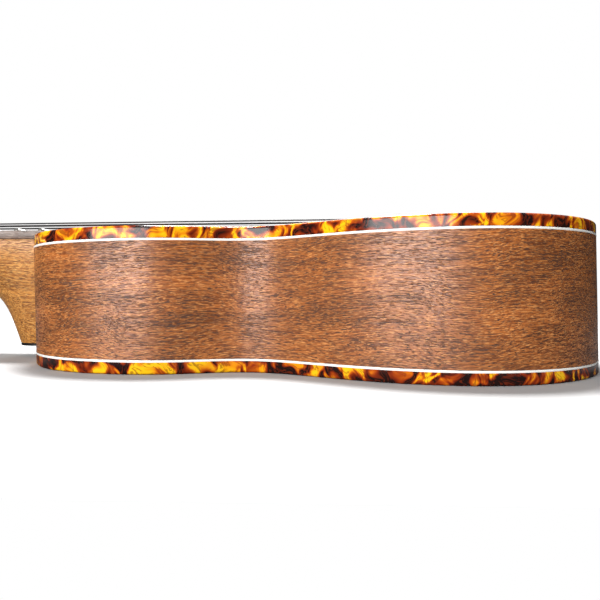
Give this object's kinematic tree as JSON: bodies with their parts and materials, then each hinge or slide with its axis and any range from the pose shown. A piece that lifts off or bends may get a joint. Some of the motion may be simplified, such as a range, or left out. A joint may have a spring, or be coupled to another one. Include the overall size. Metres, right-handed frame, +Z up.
{
  "type": "soprano ukulele",
  "caption": "Small waisted wooden ukulele with patterned edge binding, swept heel, slotted bridge, nylon strings and geared tuners.",
  "frame": {"origin": "on the plane the back lies on, midway along the length from headstock tip to tail and midway across", "axes": "+X from the headstock towards the tail, +Y towards the treble side (the A string), +Z up out of the back towards the strings"},
  "size_m": [0.5274, 0.174, 0.0644],
  "materials": {
    "body_wood": "satin mahogany",
    "neck_wood": "satin, open pores",
    "inner_wood": "bare sanded wood",
    "dark_wood": "oiled rosewood",
    "tortoise": "polished tortoise pattern",
    "white_plastic": "satin",
    "black_plastic": "satin",
    "bone": "polished bone substitute",
    "nylon": "smooth black nylon",
    "nickel": "polished nickel silver",
    "chrome": "polished",
    "button_plastic": "cream, polished"
  },
  "bodies": {
    "instrument_body": {"soundboard": "body_wood", "rosette": "white_plastic", "back_plate": "body_wood", "side_bass": "body_wood", "side_treble": "body_wood", "neck_block": "inner_wood", "tail_block": "inner_wood", "top_lining_bass": "inner_wood", "top_lining_treble": "inner_wood", "back_lining_bass": "inner_wood", "back_lining_treble": "inner_wood", "top_binding": "tortoise", "back_binding": "tortoise", "top_purfling": "white_plastic", "back_purfling": "white_plastic", "top_brace_upper": "inner_wood", "top_brace_lower": "inner_wood", "back_brace_upper": "inner_wood", "back_brace_lower": "inner_wood", "bridge_plate": "inner_wood", "neck": "neck_wood", "neck_dowel": "inner_wood", "heel_cap": "black_plastic", "fretboard": "dark_wood", "headstock_veneer": "dark_wood", "nut": "bone", "bridge": "dark_wood", "saddle": "bone", "string_g": "nylon", "string_c": "nylon", "string_e": "nylon", "string_a": "nylon", "fret_01": "nickel", "fret_02": "nickel", "fret_03": "nickel", "fret_04": "nickel", "fret_05": "nickel", "fret_06": "nickel", "fret_07": "nickel", "fret_08": "nickel", "fret_09": "nickel", "fret_10": "nickel", "fret_11": "nickel", "fret_12": "nickel", "tuner_housing_g": "chrome", "tuner_bushing_g": "chrome", "tuner_housing_c": "chrome", "tuner_bushing_c": "chrome", "tuner_housing_e": "chrome", "tuner_bushing_e": "chrome", "tuner_housing_a": "chrome", "tuner_bushing_a": "chrome"},
    "button_g": {"tuner_button_g": "button_plastic"},
    "post_g": {"tuner_post_g": "chrome"},
    "button_c": {"tuner_button_c": "button_plastic"},
    "post_c": {"tuner_post_c": "chrome"},
    "button_e": {"tuner_button_e": "button_plastic"},
    "post_e": {"tuner_post_e": "chrome"},
    "button_a": {"tuner_button_a": "button_plastic"},
    "post_a": {"tuner_post_a": "chrome"}
  },
  "joints": [
    {"name": "button_spin_g", "type": "hinge", "parent": "instrument_body", "child": "button_g", "pos_m": [-0.18909, -0.015, 0.02507], "axis": [0, -1, 0], "continuous": true},
    {"name": "post_turn_g", "type": "hinge", "parent": "instrument_body", "child": "post_g", "pos_m": [-0.18577, -0.015, 0.04225], "axis": [-0.2248, 0, 0.9744], "continuous": true},
    {"name": "button_spin_c", "type": "hinge", "parent": "instrument_body", "child": "button_c", "pos_m": [-0.22222, -0.015, 0.01742], "axis": [0, -1, 0], "continuous": true},
    {"name": "post_turn_c", "type": "hinge", "parent": "instrument_body", "child": "post_c", "pos_m": [-0.2189, -0.015, 0.03461], "axis": [-0.2248, 0, 0.9744], "continuous": true},
    {"name": "button_spin_e", "type": "hinge", "parent": "instrument_body", "child": "button_e", "pos_m": [-0.22222, 0.015, 0.01742], "axis": [0, 1, 0], "continuous": true},
    {"name": "post_turn_e", "type": "hinge", "parent": "instrument_body", "child": "post_e", "pos_m": [-0.2189, 0.015, 0.03461], "axis": [-0.2248, 0, 0.9744], "continuous": true},
    {"name": "button_spin_a", "type": "hinge", "parent": "instrument_body", "child": "button_a", "pos_m": [-0.18909, 0.015, 0.02507], "axis": [0, 1, 0], "continuous": true},
    {"name": "post_turn_a", "type": "hinge", "parent": "instrument_body", "child": "post_a", "pos_m": [-0.18577, 0.015, 0.04225], "axis": [-0.2248, 0, 0.9744], "continuous": true}
  ],
  "couplings": [
    {"joint": "post_turn_g", "follows": "button_spin_g", "ratio": -0.066667},
    {"joint": "post_turn_c", "follows": "button_spin_c", "ratio": -0.066667},
    {"joint": "post_turn_e", "follows": "button_spin_e", "ratio": 0.066667},
    {"joint": "post_turn_a", "follows": "button_spin_a", "ratio": 0.066667}
  ]
}
